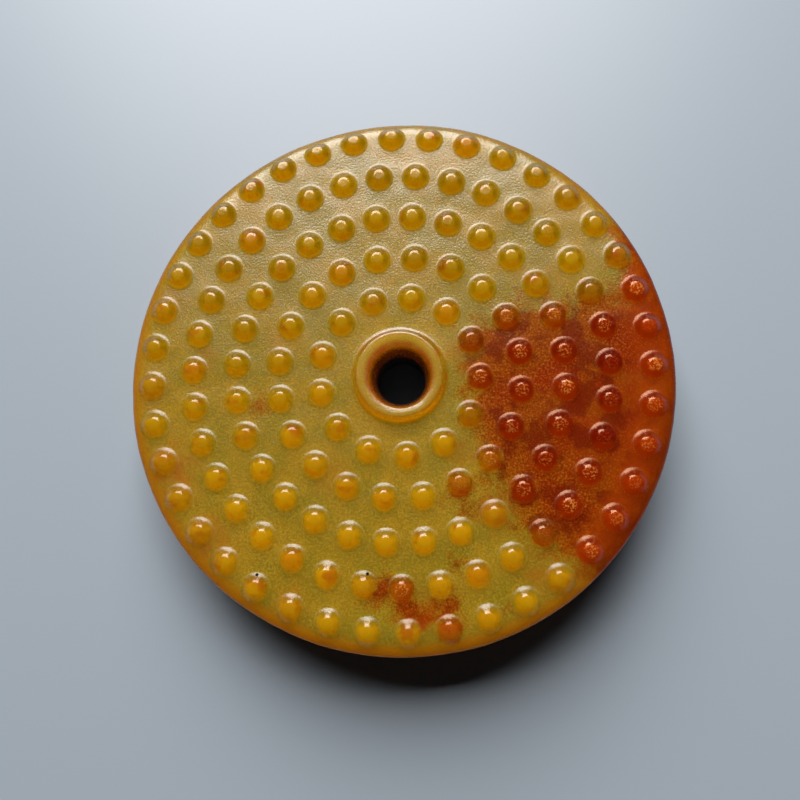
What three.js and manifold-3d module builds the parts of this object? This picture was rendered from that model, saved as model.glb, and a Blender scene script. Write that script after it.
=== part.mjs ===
// Jade bi disc: one thick round disc of jade, pierced at its centre. Five rings of
// raised studs and a rounded collar stand on its upper face. The underside is plain,
// with two incised ring lines. Millimetres, +Z up, origin at the centre of the underside.

import * as THREE from 'three';
import { mergeVertices } from 'three/addons/utils/BufferGeometryUtils.js';
import Module from 'manifold-3d';

// ---- Driving dimensions -------------------------------------------------------

const DISC_RADIUS = 33.2;
const GROUND_HEIGHT = 11;      // underside to the flat ground between the studs

// The rim is rounded over at both faces, with an upright band between.
const TOP_EDGE = { width: 2.0, height: 1.2 };
const LOWER_EDGE = { width: 2.0, height: 1.4 };

// The bore is drilled from both faces and opens into a funnel at each mouth.
const BORE_RADIUS = 3.02;
const MOUTH_RADIUS = 3.75;
const FUNNEL_DEPTH = 3.2;
const COLLAR_RADIUS = 5.65;
const COLLAR_HEIGHT = 1.05;    // above the ground
const COLLAR_CROWN_RADIUS = 5.05;
const COLLAR_LIP_DROP = 0.1;   // the collar's inner lip lies this far below its crown

// Stud rings from the centre outwards: radius, number of studs, angle of the first.
const STUD_RINGS = [
  { radius: 9.77, count: 13, firstAngle: 26.3 },
  { radius: 14.83, count: 20, firstAngle: 11.0 },
  { radius: 20.08, count: 28, firstAngle: 8.5 },
  { radius: 25.36, count: 35, firstAngle: 3.4 },
  { radius: 30.5, count: 40, firstAngle: 2.14 },
];
const STUD_RADIUS = 1.7;
const STUD_HEIGHT = 0.85;      // above the ground
const STUD_ROOT = 1.0;         // a stud's foot goes this deep, past the rounded rim

// Incised ring lines on the underside, one around the bore and one inside the rim.
const LINE_RADII = [COLLAR_RADIUS, 29.0];
const LINE_WIDTH = 0.7;
const LINE_DEPTH = 0.35;

// Facets: sides around the disc and around a stud, and steps up each rounded section.
const DISC_SIDES = 56;
const STUD_SIDES = 8;
const EDGE_STEPS = 3;
const COLLAR_STEPS = 4;
const STUD_STEPS = 3;
const MERGE_DISTANCE = 1e-4;   // vertices closer than this are one

const JADE = { color: 0x9c7a1e, roughness: 0.3, metalness: 0 };

// ---- Geometry helpers ---------------------------------------------------------

const wasm = await Module();
wasm.setup();

// Points along an elliptical arc in the section plane, angles in degrees.
function arc(centreR, centreZ, width, height, fromAngle, toAngle, steps) {
  return Array.from({ length: steps + 1 }, (_, i) => {
    const angle = THREE.MathUtils.degToRad(fromAngle + ((toAngle - fromAngle) * i) / steps);
    return new THREE.Vector2(
      centreR + width * Math.cos(angle),
      centreZ + height * Math.sin(angle),
    );
  });
}

// Turns a section of radius and height about the vertical axis.
function turned(section, sides) {
  return new THREE.LatheGeometry(section, sides).rotateX(Math.PI / 2);
}

function toSolid(geometry) {
  geometry.deleteAttribute('normal');
  geometry.deleteAttribute('uv');
  const merged = mergeVertices(geometry, MERGE_DISTANCE);
  return new wasm.Manifold(new wasm.Mesh({
    numProp: 3,
    vertProperties: merged.attributes.position.array,
    triVerts: new Uint32Array(merged.index.array),
  }));
}

function toGeometry(solid) {
  const mesh = solid.getMesh();
  const geometry = new THREE.BufferGeometry();
  geometry.setAttribute('position', new THREE.BufferAttribute(mesh.vertProperties, 3));
  geometry.setIndex(new THREE.BufferAttribute(mesh.triVerts, 1));
  geometry.computeVertexNormals();
  return geometry;
}

// ---- Parts of the disc --------------------------------------------------------

// One V-cut line in the underside, from its inner to its outer side.
function incisedLine(radius) {
  return [
    new THREE.Vector2(radius - LINE_WIDTH / 2, 0),
    new THREE.Vector2(radius, LINE_DEPTH),
    new THREE.Vector2(radius + LINE_WIDTH / 2, 0),
  ];
}

// The whole ring-shaped section: out along the underside, up the rim, in over the
// ground and the collar, and down the bore to where it began.
function discSection() {
  const lip = GROUND_HEIGHT + COLLAR_HEIGHT - COLLAR_LIP_DROP;
  const section = [
    new THREE.Vector2(MOUTH_RADIUS, 0),
    ...LINE_RADII.flatMap(incisedLine),
    ...arc(DISC_RADIUS - LOWER_EDGE.width, LOWER_EDGE.height,
      LOWER_EDGE.width, LOWER_EDGE.height, -90, 0, EDGE_STEPS),
    ...arc(DISC_RADIUS - TOP_EDGE.width, GROUND_HEIGHT - TOP_EDGE.height,
      TOP_EDGE.width, TOP_EDGE.height, 0, 90, EDGE_STEPS),
    ...arc(COLLAR_CROWN_RADIUS, GROUND_HEIGHT, COLLAR_RADIUS - COLLAR_CROWN_RADIUS,
      COLLAR_HEIGHT, 0, 90, COLLAR_STEPS),
    new THREE.Vector2(MOUTH_RADIUS, lip),
    new THREE.Vector2(BORE_RADIUS, lip - FUNNEL_DEPTH),
    new THREE.Vector2(BORE_RADIUS, FUNNEL_DEPTH),
  ];
  section.push(section[0].clone());
  return section;
}

// A domed stud, standing on the ground at height 0 with its foot below it.
function studSection() {
  return [
    new THREE.Vector2(0, -STUD_ROOT),
    new THREE.Vector2(STUD_RADIUS, -STUD_ROOT),
    ...arc(0, 0, STUD_RADIUS, STUD_HEIGHT, 0, 90, STUD_STEPS),
  ];
}

function withStuds(disc) {
  const stud = toSolid(turned(studSection(), STUD_SIDES));
  let carved = disc;
  for (const ring of STUD_RINGS) {
    for (let i = 0; i < ring.count; i += 1) {
      const angle = ring.firstAngle + (360 * i) / ring.count;
      const placed = stud.translate([ring.radius, 0, GROUND_HEIGHT]).rotate([0, 0, angle]);
      carved = carved.add(placed);
    }
  }
  return carved;
}

// ---- The object ---------------------------------------------------------------

const disc = toSolid(turned(discSection(), DISC_SIDES));
const jadeDisc = new THREE.Mesh(
  toGeometry(withStuds(disc)),
  new THREE.MeshStandardMaterial(JADE),
);
jadeDisc.name = 'jade_disc';

const bi = new THREE.Group();
bi.add(jadeDisc);
export default bi;
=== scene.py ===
"""Jade bi disc: the carved surface and the finish of the stone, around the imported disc.

Sizes are in millimetres. Times MM they become metres, in meshes, materials, the light and
the camera.
"""

import math
import random

import bmesh
import bpy
import numpy as np
from mathutils import Matrix, Vector, noise
from mathutils.geometry import delaunay_2d_cdt


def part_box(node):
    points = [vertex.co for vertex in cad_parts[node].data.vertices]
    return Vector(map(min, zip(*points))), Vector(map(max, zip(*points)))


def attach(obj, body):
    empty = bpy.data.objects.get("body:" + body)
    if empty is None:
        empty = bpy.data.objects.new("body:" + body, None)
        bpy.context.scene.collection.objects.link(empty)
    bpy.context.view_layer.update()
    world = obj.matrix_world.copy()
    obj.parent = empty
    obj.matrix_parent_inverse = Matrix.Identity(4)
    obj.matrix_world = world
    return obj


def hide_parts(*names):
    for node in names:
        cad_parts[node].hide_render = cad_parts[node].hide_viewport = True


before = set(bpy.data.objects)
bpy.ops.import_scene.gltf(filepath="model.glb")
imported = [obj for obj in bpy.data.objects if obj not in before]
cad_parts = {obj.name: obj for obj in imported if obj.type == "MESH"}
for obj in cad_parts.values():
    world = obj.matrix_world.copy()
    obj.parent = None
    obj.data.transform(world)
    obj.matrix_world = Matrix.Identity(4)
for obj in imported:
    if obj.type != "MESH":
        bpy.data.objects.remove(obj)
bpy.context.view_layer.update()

MM = 0.001
CAD_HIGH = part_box("jade_disc")[1]

# ---- Sizes of the disc, in millimetres -------------------------------------------------

DISC_RADIUS = CAD_HIGH.x / MM
CROWN_HEIGHT = CAD_HIGH.z / MM
COLLAR_HEIGHT = 1.05
STUD_HEIGHT = 0.85
GROUND_HEIGHT = CROWN_HEIGHT - COLLAR_HEIGHT

TOP_EDGE_WIDTH, TOP_EDGE_HEIGHT = 2.0, 1.2
LOWER_EDGE_WIDTH, LOWER_EDGE_HEIGHT = 2.0, 1.4

BORE_RADIUS = 3.02
MOUTH_RADIUS = 3.75
FUNNEL_DEPTH = 3.2
COLLAR_RADIUS = 5.65
COLLAR_CROWN_RADIUS = 5.05
COLLAR_LIP_DROP = 0.1          # the collar's inner lip lies this far below its crown
COLLAR_FOOT_RADIUS = 6.15      # where the hollow at the collar's foot meets the ground
COLLAR_FOOT_RISE = 0.15        # height of that hollow's inner edge

# The collar's top, from its rounded shoulder in, by radius: depths below the crown, and then
# depths below the inner lip, where that turns down into the bore.
COLLAR_SHOULDER_WIDTH, COLLAR_SHOULDER_HEIGHT = 0.4, 0.38
COLLAR_TOP = ((4.7, 0.01), (4.3, 0.03))
LIP_TURN = 0.2
COLLAR_LIP = ((3.98, 0.0), (3.88, 0.02), (3.82, 0.06), (3.78, 0.12), (MOUTH_RADIUS, LIP_TURN))

LINE_RADII = (COLLAR_RADIUS, 29.0)
LINE_WIDTH = 0.7
LINE_DEPTH = 0.35
# Radii of more rows of corners on the flat underside, by the bore's mouth and by the rim.
MOUTH_ROWS = (MOUTH_RADIUS + 0.08, 4.5)
RIM_ROW = 30.4

# Each ring of studs: radius, number of studs, angle of the first in degrees.
STUD_RINGS = (
    (9.77, 13, 26.3),
    (14.83, 20, 11.0),
    (20.08, 28, 8.5),
    (25.36, 35, 3.4),
    (30.5, 40, 2.14),
)
STUD_FOOT_RADIUS = 1.93        # where the hollow at the stud's foot meets the ground
STUD_FLAT_RADIUS = 0.58        # the top is worn flat this far from its middle
STUD_HOLLOW = 1.15             # above 1 the hollow at the foot is wider than the upper edge
STUD_HEIGHT_SPREAD = 0.1       # the lowest studs are this share lower than the highest
STUD_SEED = 3
STUD_SIDES = 24
# Rows of corners up a stud, as shares of its foot radius, closest where it turns quickest.
STUD_ROWS = (1.0, 0.96, 0.92, 0.87, 0.81, 0.73, 0.63, 0.53, 0.45, 0.39, 0.33, 0.22)

# The ground between the studs is one sheet, from the collar's foot to the turn of the rim.
SHEET_OUTER_RADIUS = 32.7
SHEET_OUTER_SIDES = 256
SHEET_INNER_SIDES = 96
WELD_DISTANCE = 0.002          # corners closer than this become one

# Corners inside a sheet: their spacing, how far they stray from an even grid and how far
# they keep from the sheet's edges, both as shares of the spacing, and the straying's seed.
GROUND_SPACING, UNDERSIDE_SPACING = 0.62, 1.5
GRID_STRAY = 0.2
GRID_CLEARANCE = 0.6
GRID_SEED = 11

# The rim was rounded by eye: off the middle of the rings and slightly oval. Each wave's
# cosine and sine parts, by how often it goes round the disc.
RIM_WAVES = {1: (0.01, -0.39), 2: (0.165, 0.085), 3: (-0.03, 0.0)}
RIM_WAVE_REACH = (30.0, 33.0)  # the waves grow from nothing to full between these radii

# The bore was drilled a little off the middle of the collar.
BORE_SHIFT = (0.1, -0.32)

# Hollows and swells left by hand grinding: wavelength and height of each.
GROUND_WAVES = ((6.0, 0.07), (1.5, 0.03))

# ---- Stains, painted glow and painted shade, in millimetres on the face seen from above ----

# Iron has coloured one side of the stone red-brown. Its edge, from the rim round to the rim.
IRON_EDGE = (
    (31, 21), (26, 19), (27, 15), (26.5, 11), (22, 10), (20, 8.5), (14, 9.5), (11, 7),
    (7.5, 5), (8, 2), (8, -3), (9, -7), (10.5, -12), (13, -15), (14, -18), (17, -20.5),
    (20, -22), (23.5, -25), (30, -31), (46, 0),
)
# Smaller red-brown spots: x, y, radius.
IRON_SPOTS = (
    (-2.0, -25.5, 1.7), (1.0, -27.5, 1.8), (3.0, -28.5, 1.2), (5.7, -27.5, 1.5),
    (12.2, -28.0, 0.2), (7.2, -14.0, 1.3), (7.9, -15.9, 0.8), (-17.0, -3.5, 0.9),
    (6.8, -22.5, 0.4), (0.4, -25.4, 0.6), (5.9, -29.9, 0.6),
)
# The stain deepens this much faster into a spot than into the large stain, and fades this
# much faster around it.
SPOT_DEEPENING, SPOT_FADING = 2.2, 1.3
# Two black mineral specks, and their radius.
SPECKS = ((-16.85, -23.85), (-3.7, -23.65))
SPECK_RADIUS = 0.25
# Painted shade darkens the bore, this far from the middle of the disc.
PAINTED_SHADE_RADIUS = MOUTH_RADIUS + 0.06
# Paler orange-brown skin: x, y, radius, strength.
SKIN_PATCHES = (
    (-28.0, -12.0, 6.0, 0.9), (-23.0, -20.0, 5.0, 0.8), (-31.0, -2.0, 4.0, 0.5),
    (-29.0, 10.0, 4.0, 0.5), (-24.0, 2.5, 2.5, 0.5), (27.0, 19.0, 4.0, 0.9),
    (22.0, 24.0, 4.0, 0.6), (3.0, -28.0, 5.0, 0.9), (-13.0, -27.0, 4.0, 0.4),
    (12.0, -16.0, 4.5, 0.8), (17.0, -23.0, 5.0, 0.7), (8.0, -9.0, 3.5, 0.6),
    (21.0, -27.0, 4.0, 0.8), (9.0, 2.0, 4.0, 0.6), (-8.0, -12.0, 4.0, 0.35),
    (17.0, 11.0, 4.0, 0.5), (-15.0, 4.0, 3.0, 0.3),
)
# The whole rim has some of this skin: from this radius out, over this width, this much.
RIM_SKIN_START, RIM_SKIN_WIDTH, RIM_SKIN = 31.5, 1.6, 0.75
# A painted honey-orange glow lights the rim too: over this width, this much at its sides, and
# more towards -Y.
PAINTED_RIM_GLOW_WIDTH, PAINTED_RIM_GLOW, PAINTED_RIM_GLOW_GROWTH = 1.2, 0.35, 0.5

# A stud is stained much as its middle is: its corners count as this share nearer to that.
# Below this share of the stud's height they are pulled in less.
STUD_STAIN_PULL, STUD_STAIN_FOOT = 0.8, 0.2

# ---- Shape helpers ---------------------------------------------------------------------


def smooth(t):
    """Eases from 0 to 1 as t, a number or an array, goes from 0 to 1."""
    t = np.clip(t, 0.0, 1.0)
    return t * t * (3 - 2 * t)


def circle(radius, sides, centre=(0.0, 0.0), turn=0.0):
    """Points on a circle, the first at the angle turn in radians."""
    return [
        (
            centre[0] + radius * math.cos(turn + 2 * math.pi * i / sides),
            centre[1] + radius * math.sin(turn + 2 * math.pi * i / sides),
        )
        for i in range(sides)
    ]


def arc(centre_r, centre_z, width, height, start, end, steps):
    """Points of an elliptical arc in the section plane, angles in degrees."""
    angles = [math.radians(start + (end - start) * i / steps) for i in range(steps + 1)]
    return [(centre_r + width * math.cos(a), centre_z + height * math.sin(a)) for a in angles]


def stud_places():
    """The centre and polar angle of every stud."""
    for radius, count, first in STUD_RINGS:
        for i in range(count):
            angle = math.radians(first) + 2 * math.pi * i / count
            yield (radius * math.cos(angle), radius * math.sin(angle)), angle


def rim_drop(radius):
    """How far the rounded rim lies below the level ground at this radius."""
    over = (radius - (DISC_RADIUS - TOP_EDGE_WIDTH)) / TOP_EDGE_WIDTH
    over = np.clip(over, 0.0, 1.0)
    return TOP_EDGE_HEIGHT * (1 - np.sqrt(1 - over**2))


def banded_faces(rows, sides):
    """Four-sided faces between rows of corners, where each row goes once around."""
    faces = []
    for low in range(0, (rows - 1) * sides, sides):
        high = low + sides
        for i in range(sides):
            j = (i + 1) % sides
            faces.append((low + i, low + j, high + j, high + i))
    return faces


def new_mesh(name, points, faces):
    """A mesh from points in millimetres."""
    mesh = bpy.data.meshes.new(name)
    mesh.from_pydata([Vector(p) * MM for p in points], [], faces)
    mesh.update()
    return mesh


def new_object(name, data):
    """An object in the scene, from a mesh, a light or a camera."""
    made = bpy.data.objects.new(name, data)
    bpy.context.scene.collection.objects.link(made)
    return made


def corner_values(mesh, name):
    """The places ("co") or the normals ("normal") of a mesh's corners, one row for each."""
    values = np.zeros(len(mesh.vertices) * 3)
    mesh.vertices.foreach_get(name, values)
    return values.reshape(-1, 3)


def move_corners(mesh, points):
    """Moves the corners of a mesh to points in millimetres."""
    mesh.vertices.foreach_set("co", (points * MM).ravel())
    mesh.update()


def store(mesh, name, values):
    """Keeps a value for each corner of a mesh, for the material to read."""
    mesh.attributes.new(name, "FLOAT", "POINT").data.foreach_set("value", values)


def distance(places, x, y):
    """How far each place, seen from above, lies from x, y."""
    return np.hypot(places[:, 0] - x, places[:, 1] - y)


# ---- The sheets: the ground between the studs, and the plain underside ------------------


def filling_points(inner, outer, holes, spacing, rng):
    """A loose triangular grid of points that keeps clear of the sheet's edges."""
    points = []
    row_height = spacing * math.sqrt(3) / 2
    rows = int(outer / row_height) + 1
    clear = spacing * GRID_CLEARANCE
    centres = np.array(holes).reshape(-1, 2)
    for row in range(-rows, rows + 1):
        for column in range(-int(outer / spacing) - 1, int(outer / spacing) + 2):
            x = (column + 0.5 * (row % 2) + rng.uniform(-GRID_STRAY, GRID_STRAY)) * spacing
            y = row * row_height + rng.uniform(-GRID_STRAY, GRID_STRAY) * spacing
            radius = math.hypot(x, y)
            if not inner + clear < radius < outer - clear:
                continue
            if holes and distance(centres, x, y).min() < STUD_FOOT_RADIUS + clear:
                continue
            points.append((x, y))
    return points


def flat_sheet(name, inner, outer, holes, spacing, height, faces_up):
    """A level ring-shaped sheet with a round hole for each stud."""
    rings = [circle(outer, SHEET_OUTER_SIDES), circle(inner, SHEET_INNER_SIDES)]
    rings += [circle(STUD_FOOT_RADIUS, STUD_SIDES, centre, turn) for centre, turn in holes]
    centres = [centre for centre, _ in holes]
    points, edges = [], []
    for ring in rings:
        first = len(points)
        points += ring
        edges += [(first + i, first + (i + 1) % len(ring)) for i in range(len(ring))]
    points += filling_points(inner, outer, centres, spacing, random.Random(GRID_SEED))
    found = delaunay_2d_cdt([Vector(p) for p in points], edges, [], 0, 1e-6)
    corners, triangles = found[0], found[2]
    middles = np.array([[sum(corners[i][k] for i in t) / 3 for k in (0, 1)] for t in triangles])
    kept = distance(middles, 0, 0) > inner * math.cos(math.pi / SHEET_INNER_SIDES)
    hole_reach = STUD_FOOT_RADIUS * math.cos(math.pi / STUD_SIDES)
    for x, y in centres:
        kept &= distance(middles, x, y) > hole_reach
    faces = [t if faces_up else t[::-1] for t, keep in zip(triangles, kept) if keep]
    return new_mesh(name, [(p[0], p[1], height) for p in corners], faces)


# ---- The studs -------------------------------------------------------------------------


def stud_height(radius):
    """Height of a stud above the ground at this distance from its middle."""
    climb = (STUD_FOOT_RADIUS - radius) / (STUD_FOOT_RADIUS - STUD_FLAT_RADIUS)
    return STUD_HEIGHT * smooth(min(climb, 1.0) ** STUD_HOLLOW)


def stud_object():
    """One stud, level at its foot, which is an open circle of the same corners as its hole."""
    points, relief = [], []
    for radius in [STUD_FOOT_RADIUS * share for share in STUD_ROWS]:
        height = stud_height(radius)
        points += [(x, y, height) for x, y in circle(radius, STUD_SIDES)]
        relief += [height / STUD_HEIGHT] * STUD_SIDES
    faces = banded_faces(len(STUD_ROWS), STUD_SIDES)
    top = (len(STUD_ROWS) - 1) * STUD_SIDES
    points.append((0.0, 0.0, stud_height(0.0)))
    relief.append(1.0)
    faces += [(top + i, top + (i + 1) % STUD_SIDES, len(points) - 1) for i in range(STUD_SIDES)]
    mesh = new_mesh("stud", points, faces)
    store(mesh, "relief", relief)
    return new_object("stud", mesh)


def add_node(tree, kind, settings=None, **inputs):
    """Adds a node, gives it its settings, and sets or links its inputs by name or number."""
    node = tree.nodes.new(kind)
    for name, value in (settings or {}).items():
        setattr(node, name, value)
    for name, value in inputs.items():
        key = int(name[1:]) if name[0] == "_" else name.replace("_", " ")
        socket = node.inputs[key]
        if isinstance(value, bpy.types.NodeSocket):
            tree.links.new(value, socket)
        else:
            socket.default_value = value
    return node


def stud_field_tree():
    """Sets a stud in every hole of the sheet, ring by ring, and welds it there."""
    tree = bpy.data.node_groups.new("stud_field", "GeometryNodeTree")
    sockets = [("Sheet", "NodeSocketGeometry"), ("Stud", "NodeSocketObject")]
    for ring in range(len(STUD_RINGS)):
        sockets += [
            (f"Ring {ring + 1} radius", "NodeSocketFloat"),
            (f"Ring {ring + 1} studs", "NodeSocketInt"),
            (f"Ring {ring + 1} turn", "NodeSocketFloat"),
        ]
    sockets += [
        ("Height spread", "NodeSocketFloat"),
        ("Weld distance", "NodeSocketFloat"),
        ("Seed", "NodeSocketInt"),
        ("Material", "NodeSocketMaterial"),
    ]
    for name, kind in sockets:
        tree.interface.new_socket(name, in_out="INPUT", socket_type=kind)
    tree.interface.new_socket("Carved sheet", in_out="OUTPUT", socket_type="NodeSocketGeometry")

    given = add_node(tree, "NodeGroupInput").outputs
    rings = add_node(tree, "GeometryNodeJoinGeometry")
    for ring in range(len(STUD_RINGS)):
        name = f"Ring {ring + 1} "
        points = add_node(tree, "GeometryNodeMeshCircle", Vertices=given[name + "studs"],
                          Radius=given[name + "radius"])
        turn = add_node(tree, "ShaderNodeCombineXYZ", Z=given[name + "turn"])
        turned_ring = add_node(tree, "GeometryNodeTransform", Geometry=points.outputs[0],
                               Rotation=turn.outputs[0])
        tree.links.new(turned_ring.outputs[0], rings.inputs[0])

    place = add_node(tree, "ShaderNodeSeparateXYZ",
                     Vector=add_node(tree, "GeometryNodeInputPosition").outputs[0])
    outward = add_node(tree, "ShaderNodeMath", {"operation": "ARCTAN2"},
                       _0=place.outputs["Y"], _1=place.outputs["X"])
    facing = add_node(tree, "ShaderNodeCombineXYZ", Z=outward.outputs[0])
    least = add_node(tree, "ShaderNodeMath", {"operation": "SUBTRACT"},
                     _0=1.0, _1=given["Height spread"])
    height = add_node(tree, "FunctionNodeRandomValue", {"data_type": "FLOAT"},
                      _2=least.outputs[0], _3=1.0, Seed=given["Seed"])
    size = add_node(tree, "ShaderNodeCombineXYZ", X=1.0, Y=1.0, Z=height.outputs[1])
    stud = add_node(tree, "GeometryNodeObjectInfo", Object=given["Stud"])
    studs = add_node(tree, "GeometryNodeInstanceOnPoints", Points=rings.outputs[0],
                     Instance=stud.outputs["Geometry"], Rotation=facing.outputs[0],
                     Scale=size.outputs[0])
    next_seed = add_node(tree, "ShaderNodeMath", {"operation": "ADD"}, _0=given["Seed"], _1=1.0)
    tone = add_node(tree, "FunctionNodeRandomValue", {"data_type": "FLOAT"},
                    _2=0.0, _3=1.0, Seed=next_seed.outputs[0])
    toned = add_node(tree, "GeometryNodeStoreNamedAttribute",
                     {"data_type": "FLOAT", "domain": "INSTANCE"},
                     Geometry=studs.outputs[0], Name="stud_tone", Value=tone.outputs[1])
    joined = add_node(tree, "GeometryNodeJoinGeometry")
    tree.links.new(given["Sheet"], joined.inputs[0])
    tree.links.new(toned.outputs[0], joined.inputs[0])
    realized = add_node(tree, "GeometryNodeRealizeInstances", Geometry=joined.outputs[0])
    welded = add_node(tree, "GeometryNodeMergeByDistance", Geometry=realized.outputs[0],
                      Distance=given["Weld distance"])
    finished = add_node(tree, "GeometryNodeSetMaterial", Geometry=welded.outputs[0],
                        Material=given["Material"])
    add_node(tree, "NodeGroupOutput", Carved_sheet=finished.outputs[0])
    return tree


def carved_ground(material):
    """The ground with its studs, bent down over the rounded rim, as a plain mesh."""
    holes = list(stud_places())
    sheet = flat_sheet("ground", COLLAR_FOOT_RADIUS, SHEET_OUTER_RADIUS, holes,
                       GROUND_SPACING, 0.0, faces_up=True)
    ground = new_object("ground", sheet)
    stud = stud_object()
    modifier = ground.modifiers.new("studs", "NODES")
    modifier.node_group = stud_field_tree()
    values = {"Stud": stud, "Height spread": STUD_HEIGHT_SPREAD,
              "Weld distance": WELD_DISTANCE * MM, "Seed": STUD_SEED, "Material": material}
    for ring, (radius, count, first) in enumerate(STUD_RINGS, 1):
        values[f"Ring {ring} radius"] = radius * MM
        values[f"Ring {ring} studs"] = count
        values[f"Ring {ring} turn"] = math.radians(first)
    for socket in modifier.node_group.interface.items_tree:
        if socket.name in values:
            modifier[socket.identifier] = values[socket.name]
    depsgraph = bpy.context.evaluated_depsgraph_get()
    carved = bpy.data.meshes.new_from_object(
        ground.evaluated_get(depsgraph), preserve_all_data_layers=True, depsgraph=depsgraph)
    for spent in (ground, stud):
        bpy.data.objects.remove(spent)
    bend_over_rim(carved)
    return carved


def bend_over_rim(mesh):
    """Drops the level ground to the rounded rim, while the tops of the studs stay level."""
    points = corner_values(mesh, "co") / MM
    hold = smooth(points[:, 2] / STUD_HEIGHT)
    points[:, 2] += GROUND_HEIGHT - rim_drop(distance(points, 0, 0)) * (1 - hold)
    move_corners(mesh, points)


def ground_by_hand(mesh):
    """Gives the true-turned disc its slightly oval rim and uneven surface."""
    points = corner_values(mesh, "co") / MM
    radius = distance(points, 0, 0)
    angle = np.arctan2(points[:, 1], points[:, 0])
    shift = np.zeros(len(points))
    for turns, (cosine, sine) in RIM_WAVES.items():
        shift += cosine * np.cos(turns * angle) + sine * np.sin(turns * angle)
    start, full = RIM_WAVE_REACH
    reach = smooth((radius - start) / (full - start))
    scale = 1 + shift * reach / np.maximum(radius, 1.0)
    points[:, :2] *= scale[:, None]
    in_bore = np.clip((COLLAR_CROWN_RADIUS - radius) / (COLLAR_CROWN_RADIUS - MOUTH_RADIUS), 0, 1)
    points[:, :2] += in_bore[:, None] * BORE_SHIFT
    swell = [
        sum(height * noise.noise(Vector(p) / length) for length, height in GROUND_WAVES)
        for p in points
    ]
    points += corner_values(mesh, "normal") * np.array(swell)[:, None]
    points[:, 2] = np.maximum(points[:, 2], 0.0)
    move_corners(mesh, points)


def inside_distance(places, outline):
    """How far each place lies inside a closed outline, negative outside it."""
    corners = np.array(outline, dtype=float)
    nearest = np.full(len(places), np.inf)
    inside = np.zeros(len(places), dtype=bool)
    for start, end in zip(corners, np.roll(corners, -1, axis=0)):
        side = end - start
        along = np.clip((places - start) @ side / (side @ side), 0, 1)
        gap = places - (start + along[:, None] * side)
        nearest = np.minimum(nearest, np.hypot(gap[:, 0], gap[:, 1]))
        spans = (start[1] > places[:, 1]) != (end[1] > places[:, 1])
        rise = side[1] if side[1] else 1.0
        crossing = start[0] + (places[:, 1] - start[1]) * side[0] / rise
        inside ^= spans & (places[:, 0] < crossing)
    return np.where(inside, nearest, -nearest)


def store_stains_and_painted_glow(mesh):
    """Stores for each corner how deep in iron stain it is, how much skin it has, and how much
    painted glow it has on the rim.
    """
    places = corner_values(mesh, "co")[:, :2] / MM
    centres = np.array([centre for centre, _ in stud_places()])
    nearest = np.argmin([distance(places, x, y) for x, y in centres], axis=0)
    relief = np.array([d.value for d in mesh.attributes["relief"].data])
    pull = STUD_STAIN_PULL * np.clip(relief / STUD_STAIN_FOOT, 0, 1)
    places += pull[:, None] * (centres[nearest] - places)
    iron = inside_distance(places, IRON_EDGE)
    for x, y, size in IRON_SPOTS:
        inside = size - distance(places, x, y)
        iron = np.maximum(iron, inside * np.where(inside > 0, SPOT_DEEPENING, SPOT_FADING))
    over = distance(places, 0, 0) - RIM_SKIN_START
    skin = RIM_SKIN * np.clip(over / RIM_SKIN_WIDTH, 0, 1)
    for x, y, size, strength in SKIN_PATCHES:
        skin = np.maximum(skin, strength * smooth(1 - distance(places, x, y) / size))
    # Painted glow on the rim: it grows over the rim's width, and more towards -Y.
    painted_rim_glow = np.clip(over / PAINTED_RIM_GLOW_WIDTH, 0, 1)
    painted_rim_glow = np.clip(painted_rim_glow * (PAINTED_RIM_GLOW - PAINTED_RIM_GLOW_GROWTH * places[:, 1] / DISC_RADIUS), 0, 1)
    store(mesh, "iron_reach", iron)
    store(mesh, "skin", skin)
    store(mesh, "painted_rim_glow", painted_rim_glow)


# ---- The turned parts: collar and bore, rim, underside ------------------------------------


def incised_line(radius):
    """One V-cut line with softened lips, from its inner to its outer side."""
    half = LINE_WIDTH / 2
    steps = [-1.0, -0.8, -0.35, 0.0, 0.35, 0.8, 1.0]
    return [(radius + half * s, LINE_DEPTH * (1 - smooth(abs(s)))) for s in steps]


def collar_and_bore_section():
    """From the ground over the collar, down the bore, and out on the underside."""
    lip = CROWN_HEIGHT - COLLAR_LIP_DROP
    foot = [
        (COLLAR_FOOT_RADIUS - (COLLAR_FOOT_RADIUS - COLLAR_RADIUS) * t,
         GROUND_HEIGHT + COLLAR_FOOT_RISE * t * t)
        for t in (0.0, 0.2, 0.4, 0.6, 0.8, 1.0)
    ]
    shoulder = arc(COLLAR_CROWN_RADIUS, CROWN_HEIGHT - COLLAR_SHOULDER_HEIGHT,
                   COLLAR_SHOULDER_WIDTH, COLLAR_SHOULDER_HEIGHT, 8, 90, 10)
    top = [(radius, CROWN_HEIGHT - depth) for radius, depth in COLLAR_TOP]
    top += [(radius, lip - depth) for radius, depth in COLLAR_LIP]
    funnel = [
        (MOUTH_RADIUS + (BORE_RADIUS - MOUTH_RADIUS) * math.sin(t * math.pi / 2),
         lip - LIP_TURN - FUNNEL_DEPTH * t)
        for t in (0.1, 0.22, 0.35, 0.5, 0.7, 0.85, 1.0)
    ]
    high, low = funnel[-1][1], FUNNEL_DEPTH
    bore = [(BORE_RADIUS, high + (low - high) * t) for t in (0.2, 0.4, 0.6, 0.8, 1.0)]
    lower = [
        (BORE_RADIUS + (MOUTH_RADIUS - BORE_RADIUS) * smooth(t), FUNNEL_DEPTH * (1 - t))
        for t in (0.25, 0.5, 0.75, 0.9, 0.97)
    ]
    underside = [(radius, 0.0) for radius in MOUTH_ROWS] + incised_line(LINE_RADII[0])
    return foot + shoulder + top + funnel + bore + lower + underside


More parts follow.
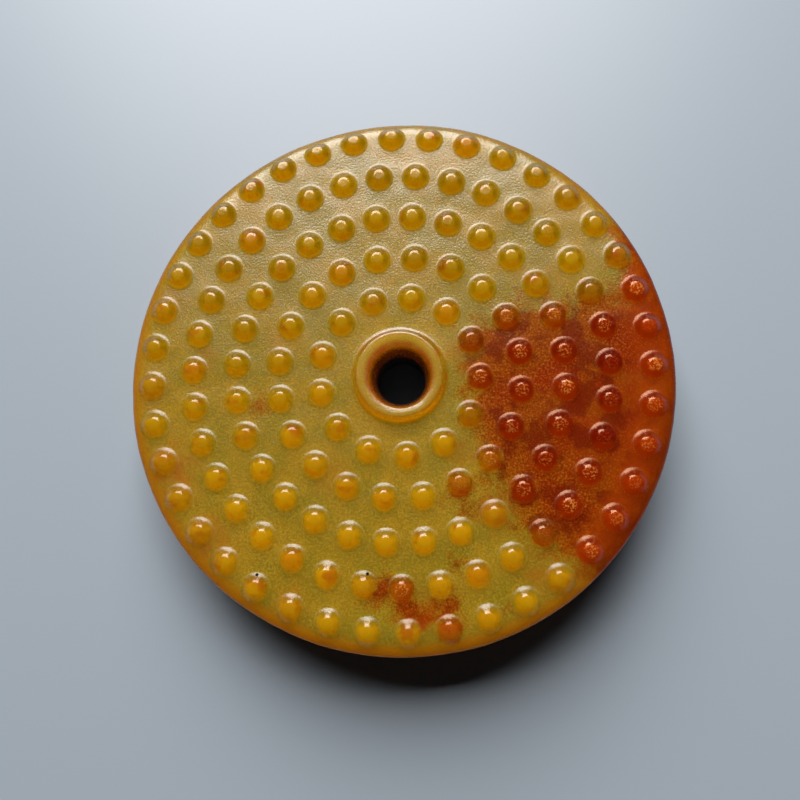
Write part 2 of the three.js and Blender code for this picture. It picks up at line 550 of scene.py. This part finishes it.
def rim_section():
    """From the outer line on the underside, around the rim and up to the ground's edge."""
    lower = arc(DISC_RADIUS - LOWER_EDGE_WIDTH, LOWER_EDGE_HEIGHT,
                LOWER_EDGE_WIDTH, LOWER_EDGE_HEIGHT, -90, 0, 12)
    reach = (SHEET_OUTER_RADIUS - (DISC_RADIUS - TOP_EDGE_WIDTH)) / TOP_EDGE_WIDTH
    top = arc(DISC_RADIUS - TOP_EDGE_WIDTH, GROUND_HEIGHT - TOP_EDGE_HEIGHT,
              TOP_EDGE_WIDTH, TOP_EDGE_HEIGHT, 0, math.degrees(math.acos(reach)), 14)
    low, high = lower[-1][1], top[0][1]
    wall = [(DISC_RADIUS, low + (high - low) * t) for t in (0.25, 0.5, 0.75)]
    return incised_line(LINE_RADII[1]) + [(RIM_ROW, 0.0)] + lower + wall + top


def turned(name, section, sides):
    """Turns an open section about the axis of the disc."""
    points = [(x, y, height) for radius, height in section for x, y in circle(radius, sides)]
    return new_mesh(name, points, banded_faces(len(section), sides))


def joined(name, meshes):
    """One closed mesh from parts whose edges share their places."""
    points, faces = [], []
    kept = {"relief": [], "stud_tone": []}
    for mesh in meshes:
        first = len(points)
        points += [tuple(v.co) for v in mesh.vertices]
        faces += [tuple(first + i for i in p.vertices) for p in mesh.polygons]
        for attribute, values in kept.items():
            if attribute in mesh.attributes:
                values += [d.value for d in mesh.attributes[attribute].data]
            else:
                values += [0.0] * len(mesh.vertices)
    whole = bpy.data.meshes.new(name)
    whole.from_pydata(points, [], faces)
    for attribute, values in kept.items():
        store(whole, attribute, values)
    work = bmesh.new()
    work.from_mesh(whole)
    bmesh.ops.remove_doubles(work, verts=work.verts, dist=WELD_DISTANCE * MM)
    bmesh.ops.recalc_face_normals(work, faces=work.faces)
    work.to_mesh(whole)
    work.free()
    whole.shade_smooth()
    return whole


def build_disc(material):
    """The whole disc as one closed mesh."""
    ground = carved_ground(material)
    collar = turned("collar", collar_and_bore_section(), SHEET_INNER_SIDES)
    rim = turned("rim", rim_section(), SHEET_OUTER_SIDES)
    line_half = LINE_WIDTH / 2
    under = flat_sheet("underside", LINE_RADII[0] + line_half, LINE_RADII[1] - line_half, [],
                       UNDERSIDE_SPACING, 0.0, faces_up=False)
    disc = new_object("carved_disc", joined("carved_disc", [ground, collar, rim, under]))
    ground_by_hand(disc.data)
    store_stains_and_painted_glow(disc.data)
    disc.data.materials.append(material)
    return disc


# ---- Materials ---------------------------------------------------------------------------


def linear(hex_colour):
    """An sRGB hex colour as linear RGBA."""
    channels = [int(hex_colour[i:i + 2], 16) / 255 for i in (1, 3, 5)]
    return [c / 12.92 if c <= 0.04045 else ((c + 0.055) / 1.055) ** 2.4 for c in channels] + [1]


# A Mix node's colour inputs are numbers 6 and 7, and its colour output is number 2. A Math
# node without settings adds, and one with MULTIPLY keeps its product between 0 and 1.
COLOUR_MIX = {"data_type": "RGBA"}
SOFT_STEP = {"interpolation_type": "SMOOTHSTEP"}
MULTIPLY = {"operation": "MULTIPLY", "use_clamp": True}


def stone_patterns(tree):
    """The patterns that the colours and the finish of the stone share, by name."""
    place = add_node(tree, "ShaderNodeTexCoord").outputs["Object"]
    found = {}
    # Clouds in the stone 6 mm across, veins of 2.5 mm, mottling of 1.5 mm, and the felted
    # grain of nephrite, which is some 0.05 mm and is drawn at 0.24 mm so that it shows.
    for name, size, detail in (("clouds", 6.0, 3), ("veins", 2.5, 3), ("mottle", 1.5, 4),
                               ("grain", 0.24, 2)):
        found[name] = add_node(tree, "ShaderNodeTexNoise", Vector=place,
                               Scale=1 / (size * MM), Detail=detail).outputs["Fac"]
    for name in ("relief", "stud_tone", "iron_reach", "skin", "painted_rim_glow"):
        stored = add_node(tree, "ShaderNodeAttribute", {"attribute_name": name})
        found[name] = stored.outputs["Fac"]
    spot = add_node(tree, "ShaderNodeSeparateXYZ", Vector=place)
    across = add_node(tree, "ShaderNodeCombineXYZ", X=spot.outputs["X"], Y=spot.outputs["Y"])
    found["across"] = across.outputs[0]
    found["radius"] = add_node(tree, "ShaderNodeVectorMath", {"operation": "LENGTH"},
                               Vector=across.outputs[0]).outputs["Value"]
    found["y"] = spot.outputs["Y"]
    found["height"] = spot.outputs["Z"]
    # A stud's core is amber, from near its foot on the side of the light, towards +Y. Towards
    # -Y the foot keeps more of the ground's colour.
    foot = add_node(tree, "ShaderNodeMapRange", Value=found["y"],
                    From_Min=12.0 * MM, From_Max=-12.0 * MM, To_Min=0.18, To_Max=0.7)
    found["core"] = add_node(tree, "ShaderNodeMapRange", SOFT_STEP, Value=found["relief"],
                             From_Min=0.03, From_Max=foot.outputs[0]).outputs[0]
    facing = add_node(tree, "ShaderNodeTexCoord").outputs["Normal"]
    found["facing"] = add_node(tree, "ShaderNodeSeparateXYZ", Vector=facing).outputs
    return found


def painted_shade_and_glow(tree, found, colour, shade, glow):
    """Painted shade and painted glow, for light that enters one side of a stud or the rim and
    comes out, oranger, on the other.
    """
    # Painted shade: steep sides are darker all round, more so on the studs towards +Y, which lie
    # nearer to the light.
    steep = add_node(tree, "ShaderNodeMapRange", Value=found["y"],
                     From_Min=-15.0 * MM, From_Max=15.0 * MM, To_Min=0.15, To_Max=0.5)
    # Painted shade on steep sides and on sides facing +Y, and a painted glow on sides facing -Y.
    tints = (
        ("Z", 0.97, 0.72, steep.outputs[0], shade),
        ("Y", 0.2, 0.7, 0.45, shade),
        ("Y", -0.1, -0.6, 0.4, glow),
    )
    for axis, start, end, most, tint in tints:
        side = add_node(tree, "ShaderNodeMapRange", SOFT_STEP, Value=found["facing"][axis],
                        From_Min=start, From_Max=end, To_Max=most)
        colour = add_node(tree, "ShaderNodeMix", COLOUR_MIX, _0=side.outputs[0],
                          _6=colour, _7=linear(tint)).outputs[2]
    return colour


def collar_skin(tree, found, colour):
    """Warmer skin on the collar, orange-brown in patches around its outer side."""
    warm = add_node(tree, "ShaderNodeMapRange", SOFT_STEP, Value=found["radius"],
                    From_Min=5.9 * MM, From_Max=5.5 * MM, To_Max=0.5)
    colour = add_node(tree, "ShaderNodeMix", COLOUR_MIX, _0=warm.outputs[0],
                      _6=colour, _7=linear("#a87e12")).outputs[2]
    outside = add_node(tree, "ShaderNodeMapRange", SOFT_STEP, Value=found["radius"],
                       From_Min=4.8 * MM, From_Max=5.4 * MM)
    inside = add_node(tree, "ShaderNodeMapRange", SOFT_STEP, Value=found["radius"],
                      From_Min=6.0 * MM, From_Max=5.6 * MM)
    patchy = add_node(tree, "ShaderNodeMapRange", SOFT_STEP, Value=found["mottle"],
                      From_Min=0.38, From_Max=0.6)
    skin = add_node(tree, "ShaderNodeMath", MULTIPLY, _0=outside.outputs[0], _1=inside.outputs[0])
    skin = add_node(tree, "ShaderNodeMath", MULTIPLY, _0=skin.outputs[0], _1=patchy.outputs[0])
    return add_node(tree, "ShaderNodeMix", COLOUR_MIX, _0=skin.outputs[0],
                    _6=colour, _7=linear("#a05a04")).outputs[2]


def clean_stone(tree, found):
    """Olive to honey-yellow stone, and amber in the cores of the studs."""
    cloudy = add_node(tree, "ShaderNodeMapRange", SOFT_STEP, Value=found["clouds"],
                      From_Min=0.38, From_Max=0.62)
    body = add_node(tree, "ShaderNodeMix", COLOUR_MIX, _0=cloudy.outputs[0],
                    _6=linear("#8a7010"), _7=linear("#9a7612"))
    golden = add_node(tree, "ShaderNodeMapRange", SOFT_STEP, Value=found["mottle"],
                      From_Min=0.5, From_Max=0.75, To_Max=0.3)
    body = add_node(tree, "ShaderNodeMix", COLOUR_MIX, _0=golden.outputs[0],
                    _6=body.outputs[2], _7=linear("#ac7c10"))
    # Dark grains, and pale ones between them.
    for start, end, most, tint in ((0.46, 0.66, 0.4, "#5c4808"), (0.48, 0.34, 0.25, "#b49a3c")):
        grains = add_node(tree, "ShaderNodeMapRange", SOFT_STEP, Value=found["grain"],
                          From_Min=start, From_Max=end, To_Max=most)
        body = add_node(tree, "ShaderNodeMix", COLOUR_MIX, _0=grains.outputs[0],
                        _6=body.outputs[2], _7=linear(tint))
    amber = add_node(tree, "ShaderNodeMix", COLOUR_MIX, _0=found["stud_tone"],
                     _6=linear("#946c04"), _7=linear("#b08404"))
    # The studs grow brighter towards -Y, and about one in five is more orange than the rest.
    brighter = add_node(tree, "ShaderNodeMapRange", Value=found["y"],
                        From_Min=12.0 * MM, From_Max=-22.0 * MM, To_Max=0.6)
    amber = add_node(tree, "ShaderNodeMix", COLOUR_MIX, _0=brighter.outputs[0],
                     _6=amber.outputs[2], _7=linear("#c68c08"))
    orange = add_node(tree, "ShaderNodeMapRange", Value=found["stud_tone"],
                      From_Min=0.75, From_Max=0.95, To_Max=0.5)
    amber = add_node(tree, "ShaderNodeMix", COLOUR_MIX, _0=orange.outputs[0],
                     _6=amber.outputs[2], _7=linear("#ac5a04"))
    vein = add_node(tree, "ShaderNodeMapRange", SOFT_STEP, Value=found["veins"],
                    From_Min=0.55, From_Max=0.7, To_Max=0.7)
    amber = add_node(tree, "ShaderNodeMix", COLOUR_MIX, _0=vein.outputs[0],
                     _6=amber.outputs[2], _7=linear("#a04804"))
    colour = add_node(tree, "ShaderNodeMix", COLOUR_MIX, _0=found["core"],
                      _6=body.outputs[2], _7=amber.outputs[2]).outputs[2]
    colour = collar_skin(tree, found, colour)
    # Painted olive shade on steep and +Y-facing sides, and a painted amber glow on sides facing
    # -Y.
    return painted_shade_and_glow(tree, found, colour, "#4e4000", "#d89000")


def iron_stained_stone(tree, found):
    """Rusty brown ground, clouded dark red, with a fine grain, and studs like dark red amber."""
    deep = add_node(tree, "ShaderNodeMapRange", SOFT_STEP, Value=found["iron_reach"],
                    From_Min=-1.0, From_Max=6.0, To_Min=0.3)
    redder = add_node(tree, "ShaderNodeMapRange", SOFT_STEP, Value=found["clouds"],
                      From_Min=0.4, From_Max=0.6, To_Min=0.6, To_Max=1.0)
    red = add_node(tree, "ShaderNodeMath", MULTIPLY, _0=deep.outputs[0], _1=redder.outputs[0])
    ground = add_node(tree, "ShaderNodeMix", COLOUR_MIX, _0=red.outputs[0],
                      _6=linear("#925006"), _7=linear("#862802"))
    # Dark red grains and golden ones, fainter towards the rim.
    thin = add_node(tree, "ShaderNodeMapRange", SOFT_STEP, Value=found["iron_reach"],
                    From_Min=6.0, From_Max=13.0, To_Min=0.45, To_Max=0.2)
    for start, end, tint in ((0.49, 0.62, "#500f02"), (0.46, 0.34, "#b06c20")):
        grains = add_node(tree, "ShaderNodeMapRange", SOFT_STEP, Value=found["grain"],
                          From_Min=start, From_Max=end)
        grains = add_node(tree, "ShaderNodeMath", MULTIPLY,
                          _0=grains.outputs[0], _1=thin.outputs[0])
        ground = add_node(tree, "ShaderNodeMix", COLOUR_MIX, _0=grains.outputs[0],
                          _6=ground.outputs[2], _7=linear(tint))
    # Clots of darker red.
    clot = add_node(tree, "ShaderNodeMapRange", SOFT_STEP, Value=found["veins"],
                    From_Min=0.46, From_Max=0.6, To_Max=0.7)
    ground = add_node(tree, "ShaderNodeMix", COLOUR_MIX, _0=clot.outputs[0],
                      _6=ground.outputs[2], _7=linear("#621402"))
    stud = add_node(tree, "ShaderNodeMix", COLOUR_MIX, _0=found["stud_tone"],
                    _6=linear("#701002"), _7=linear("#8e2602"))
    # Towards the rim all turns orange.
    outer = add_node(tree, "ShaderNodeMapRange", SOFT_STEP, Value=found["radius"],
                     From_Min=27.0 * MM, From_Max=30.0 * MM, To_Max=0.6)
    stud = add_node(tree, "ShaderNodeMix", COLOUR_MIX, _0=outer.outputs[0],
                    _6=stud.outputs[2], _7=linear("#ac3402"))
    ground = add_node(tree, "ShaderNodeMix", COLOUR_MIX, _0=outer.outputs[0],
                      _6=ground.outputs[2], _7=linear("#983402"))
    colour = add_node(tree, "ShaderNodeMix", COLOUR_MIX, _0=found["core"],
                      _6=ground.outputs[2], _7=stud.outputs[2]).outputs[2]
    # Painted dark red shade on steep and +Y-facing sides, and a painted orange-red glow on sides
    # facing -Y.
    return painted_shade_and_glow(tree, found, colour, "#3c0800", "#a83200")


def stained_edge(tree, found):
    """How far a place is stained red-brown: the stain's edge wanders and is a little grainy.

    On a stud the edge wanders less, because a stud is stained as a whole. The reach of the
    stain, the wander and the crumbs are in millimetres.
    """
    wander = add_node(tree, "ShaderNodeMath", {"operation": "MULTIPLY_ADD"},
                      _0=found["mottle"], _1=7.0, _2=-3.5)
    steady = add_node(tree, "ShaderNodeMapRange", Value=found["core"], To_Min=1.0, To_Max=0.25)
    # The wander goes both ways, so its product is not kept above 0.
    wander = add_node(tree, "ShaderNodeMath", {"operation": "MULTIPLY"},
                      _0=wander.outputs[0], _1=steady.outputs[0])
    crumbs = add_node(tree, "ShaderNodeMath", {"operation": "MULTIPLY_ADD"},
                      _0=found["grain"], _1=1.8, _2=-0.9)
    edge = add_node(tree, "ShaderNodeMath", _0=wander.outputs[0], _1=crumbs.outputs[0])
    reach = add_node(tree, "ShaderNodeMath", _0=found["iron_reach"], _1=edge.outputs[0])
    return add_node(tree, "ShaderNodeMapRange", SOFT_STEP, Value=reach.outputs[0],
                    From_Min=-2.0, From_Max=2.4).outputs[0]


def mouth_skin_and_painted_bore_shade(tree, found, colour):
    """Orange-brown skin around the mouth, and painted shade down the bore, brown and then black.
    """
    ringed = add_node(tree, "ShaderNodeMapRange", SOFT_STEP, Value=found["radius"],
                      From_Min=4.5 * MM, From_Max=3.85 * MM)
    patchy = add_node(tree, "ShaderNodeMapRange", SOFT_STEP, Value=found["mottle"],
                      From_Min=0.35, From_Max=0.6, To_Min=0.65, To_Max=1.0)
    ringed = add_node(tree, "ShaderNodeMath", MULTIPLY,
                      _0=ringed.outputs[0], _1=patchy.outputs[0])
    colour = add_node(tree, "ShaderNodeMix", COLOUR_MIX, _0=ringed.outputs[0],
                      _6=colour, _7=linear("#984c06")).outputs[2]
    inside = add_node(tree, "ShaderNodeMath", {"operation": "LESS_THAN"},
                      _0=found["radius"], _1=PAINTED_SHADE_RADIUS * MM)
    # Painted shade down the bore, brown and then black: each grows to full between two heights
    # above the ground.
    for top, bottom, tint in ((0.9, -0.3, "#5e2c0c"), (-0.8, -4.5, "#0a0401")):
        depth = add_node(tree, "ShaderNodeMapRange", SOFT_STEP, Value=found["height"],
                         From_Min=(GROUND_HEIGHT + top) * MM,
                         From_Max=(GROUND_HEIGHT + bottom) * MM)
        painted_shade = add_node(tree, "ShaderNodeMath", MULTIPLY,
                         _0=inside.outputs[0], _1=depth.outputs[0])
        colour = add_node(tree, "ShaderNodeMix", COLOUR_MIX, _0=painted_shade.outputs[0],
                          _6=colour, _7=linear(tint)).outputs[2]
    return colour


def handled_skin_and_painted_glow(tree, found, colour):
    """Orange-brown skin in patches and on the rim, and a painted honey-orange glow on the rim,
    stronger towards -Y.
    """
    patchy = add_node(tree, "ShaderNodeMapRange", Value=found["mottle"],
                      From_Min=0.35, From_Max=0.65, To_Min=0.3, To_Max=1.0)
    skin = add_node(tree, "ShaderNodeMath", MULTIPLY, _0=found["skin"], _1=patchy.outputs[0])
    colour = add_node(tree, "ShaderNodeMix", COLOUR_MIX, _0=skin.outputs[0],
                      _6=colour, _7=linear("#985408")).outputs[2]
    # A painted honey-orange glow on the rim, stronger towards -Y.
    return add_node(tree, "ShaderNodeMix", COLOUR_MIX, _0=found["painted_rim_glow"],
                    _6=colour, _7=linear("#c87600")).outputs[2]


def black_specks(tree, found, colour):
    """The colour with two black specks, and how dull the stone is.

    The specks do not shine, and the rim under the painted glow shines less than the rest.
    """
    dull = add_node(tree, "ShaderNodeMath", MULTIPLY, _0=found["painted_rim_glow"], _1=0.8)
    for x, y in SPECKS:
        apart = add_node(tree, "ShaderNodeVectorMath", {"operation": "DISTANCE"},
                         _0=found["across"], _1=(x * MM, y * MM, 0.0))
        speck = add_node(tree, "ShaderNodeMapRange", SOFT_STEP, Value=apart.outputs["Value"],
                         From_Min=SPECK_RADIUS * MM, From_Max=0.5 * SPECK_RADIUS * MM)
        colour = add_node(tree, "ShaderNodeMix", COLOUR_MIX, _0=speck.outputs[0],
                          _6=colour, _7=linear("#140c04")).outputs[2]
        dull = add_node(tree, "ShaderNodeMath", {"operation": "MAXIMUM"},
                        _0=dull.outputs[0], _1=speck.outputs[0])
    return colour, dull.outputs[0]


def golden_tops(tree, found, iron, colour):
    """Golden grains in the rubbed tops of the stained studs, more of them on some than others."""
    golden = add_node(tree, "ShaderNodeMapRange", SOFT_STEP, Value=found["grain"],
                      From_Min=0.5, From_Max=0.6, To_Max=0.7)
    rubbed = add_node(tree, "ShaderNodeMapRange", SOFT_STEP, Value=found["relief"],
                      From_Min=0.7, From_Max=1.0)
    more = add_node(tree, "ShaderNodeMapRange", Value=found["stud_tone"],
                    From_Min=0.1, From_Max=0.8, To_Min=0.15, To_Max=1.0)
    share = iron
    for limit in (golden, rubbed, more):
        share = add_node(tree, "ShaderNodeMath", MULTIPLY,
                         _0=share, _1=limit.outputs[0]).outputs[0]
    return add_node(tree, "ShaderNodeMix", COLOUR_MIX, _0=share,
                    _6=colour, _7=linear("#d08438")).outputs[2]


def uneven_polish(tree, found, iron):
    """How rough the stone is.

    The polish is fair on the ground, best on the studs and a little better in the stain. It
    is poorer at a stud's foot and poorest on the rim under the painted glow.
    """
    foot = add_node(tree, "ShaderNodeMapRange", SOFT_STEP, Value=found["relief"],
                    From_Min=0.0, From_Max=0.03, To_Min=0.26, To_Max=0.32)
    stud = add_node(tree, "ShaderNodeMapRange", SOFT_STEP, Value=found["relief"],
                    From_Min=0.12, From_Max=0.5, To_Max=-0.15)
    rough = add_node(tree, "ShaderNodeMath", _0=foot.outputs[0], _1=stud.outputs[0])
    for pattern, more in ((iron, -0.05), (found["painted_rim_glow"], 0.2), (found["grain"], 0.1)):
        rough = add_node(tree, "ShaderNodeMath", {"operation": "MULTIPLY_ADD"},
                         _0=pattern, _1=more, _2=rough.outputs[0])
    # Half of the grain's share is taken off again, so that the grain evens out.
    return add_node(tree, "ShaderNodeMath", _0=rough.outputs[0], _1=-0.05).outputs[0]


def polished_nephrite():
    """Nephrite, carved, polished and long handled.

    To the eye it is waxy and deep. Light soaks in and comes out amber; the colour adds painted
    shade and painted glow on the studs and the rim, and painted shade down the bore. The ground
    keeps a fine matt grain, the studs are rubbed smooth, and iron has stained one side red-brown.
    """
    material = bpy.data.materials.new("polished_nephrite")
    material.use_nodes = True
    tree = material.node_tree
    tree.nodes.clear()
    found = stone_patterns(tree)
    iron = stained_edge(tree, found)
    colour = handled_skin_and_painted_glow(tree, found, clean_stone(tree, found))
    colour = add_node(tree, "ShaderNodeMix", COLOUR_MIX, _0=iron,
                      _6=colour, _7=iron_stained_stone(tree, found)).outputs[2]
    # Painted shade down the bore, brown and then black, with the orange-brown skin around its
    # mouth.
    colour = mouth_skin_and_painted_bore_shade(tree, found, colour)
    colour, dull = black_specks(tree, found, colour)
    colour = golden_tops(tree, found, iron, colour)

    matt = add_node(tree, "ShaderNodeMapRange", Value=found["relief"],
                    From_Min=0.0, From_Max=0.5, To_Min=0.5, To_Max=0.15)
    bump = add_node(tree, "ShaderNodeBump", Height=found["grain"],
                    Strength=matt.outputs[0], Distance=0.065 * MM)
    # A waxy film gives reflections a warm tinge on the studs, and most of all on the stain.
    sheen = add_node(tree, "ShaderNodeMix", COLOUR_MIX, _0=found["core"],
                     _6=linear("#ffffff"), _7=linear("#fff0dc"))
    sheen = add_node(tree, "ShaderNodeMix", COLOUR_MIX, _0=iron,
                     _6=sheen.outputs[2], _7=linear("#ffcaa4"))
    shine = add_node(tree, "ShaderNodeMapRange", Value=dull, To_Min=0.5, To_Max=0.0)
    shader = add_node(tree, "ShaderNodeBsdfPrincipled", {"subsurface_method": "BURLEY"},
                      Base_Color=colour, IOR=1.61, Specular_Tint=sheen.outputs[2],
                      Specular_IOR_Level=shine.outputs[0],
                      Roughness=uneven_polish(tree, found, iron), Normal=bump.outputs[0],
                      Subsurface_Weight=1.0, Subsurface_Radius=(1.0, 0.8, 0.2),
                      Subsurface_Scale=8.0 * MM)
    add_node(tree, "ShaderNodeOutputMaterial", Surface=shader.outputs[0])
    return material


def painted_board():
    """Painted board under the disc: pale and cool, with a soft sheen."""
    material = bpy.data.materials.new("painted_board")
    material.use_nodes = True
    shader = material.node_tree.nodes["Principled BSDF"]
    shader.inputs["Base Color"].default_value = linear("#9fa8b1")
    shader.inputs["Roughness"].default_value = 0.38
    return material


# ---- Stage, light and camera ---------------------------------------------------------------

FLOOR_REACH = 900

WINDOW_TILT = 50.0             # degrees from straight up, towards +Y
WINDOW_TURN = 8.0              # degrees from +Y towards -X
WINDOW_DISTANCE = 940
WINDOW_WIDTH, WINDOW_HEIGHT = 720, 770
WINDOW_POWER = 18
ROOM_BRIGHTNESS = 0.015

# The camera stands over the disc, a little towards -Y and +X, and leans by a few degrees.
CAMERA_PLACE = (4.94, -15.43, 95.98)   # from the centre of the ground between the studs
CAMERA_LEAN = 7.93                     # degrees
CAMERA_LEAN_AXIS = 21.4                # degrees from +X
CAMERA_LENS, CAMERA_SENSOR = 36.0, 36.0
CAMERA_NEAREST = 1.0                   # nothing closer than this is drawn


def build_floor():
    """A square of floor around the middle of the disc."""
    far = FLOOR_REACH
    corners = [(-far, -far, 0), (far, -far, 0), (far, far, 0), (-far, far, 0)]
    floor = new_object("floor", new_mesh("floor", corners, [(0, 1, 2, 3)]))
    floor.data.materials.append(painted_board())
    return floor


def build_window():
    """A softbox like a window, beyond the disc towards +Y."""
    light = bpy.data.lights.new("window", "AREA")
    light.shape = "RECTANGLE"
    light.size, light.size_y = WINDOW_WIDTH * MM, WINDOW_HEIGHT * MM
    light.energy = WINDOW_POWER
    lamp = new_object("window", light)
    tilt, turn = math.radians(WINDOW_TILT), math.radians(WINDOW_TURN)
    aside = math.sin(tilt)
    away = Vector((-aside * math.sin(turn), aside * math.cos(turn), math.cos(tilt)))
    lamp.location = away * WINDOW_DISTANCE * MM + Vector((0, 0, GROUND_HEIGHT * MM))
    lamp.rotation_mode = "QUATERNION"
    lamp.rotation_quaternion = away.to_track_quat("Z", "Y")


def build_room():
    """The dim, bluish rest of the room."""
    world = bpy.data.worlds.new("room")
    world.use_nodes = True
    background = world.node_tree.nodes["Background"]
    background.inputs["Color"].default_value = linear("#c4ccd4")
    background.inputs["Strength"].default_value = ROOM_BRIGHTNESS
    bpy.context.scene.world = world


def build_camera():
    """The camera, over the disc and looking nearly straight down."""
    camera = new_object("camera", bpy.data.cameras.new("camera"))
    camera.data.sensor_width = CAMERA_SENSOR
    camera.data.lens = CAMERA_LENS
    camera.data.clip_start = CAMERA_NEAREST * MM
    place = Vector(CAMERA_PLACE) + Vector((0, 0, GROUND_HEIGHT))
    turn = math.radians(CAMERA_LEAN_AXIS)
    axis = Vector((math.cos(turn), math.sin(turn), 0))
    lean = Matrix.Rotation(math.radians(CAMERA_LEAN), 4, axis)
    camera.matrix_world = Matrix.Translation(place * MM) @ lean
    bpy.context.scene.camera = camera


# ---- Assembly ------------------------------------------------------------------------------

bpy.context.scene.view_settings.view_transform = "Standard"
build_camera()
build_window()
build_room()
build_floor()

disc = build_disc(polished_nephrite())
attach(disc, "root")
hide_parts("jade_disc")
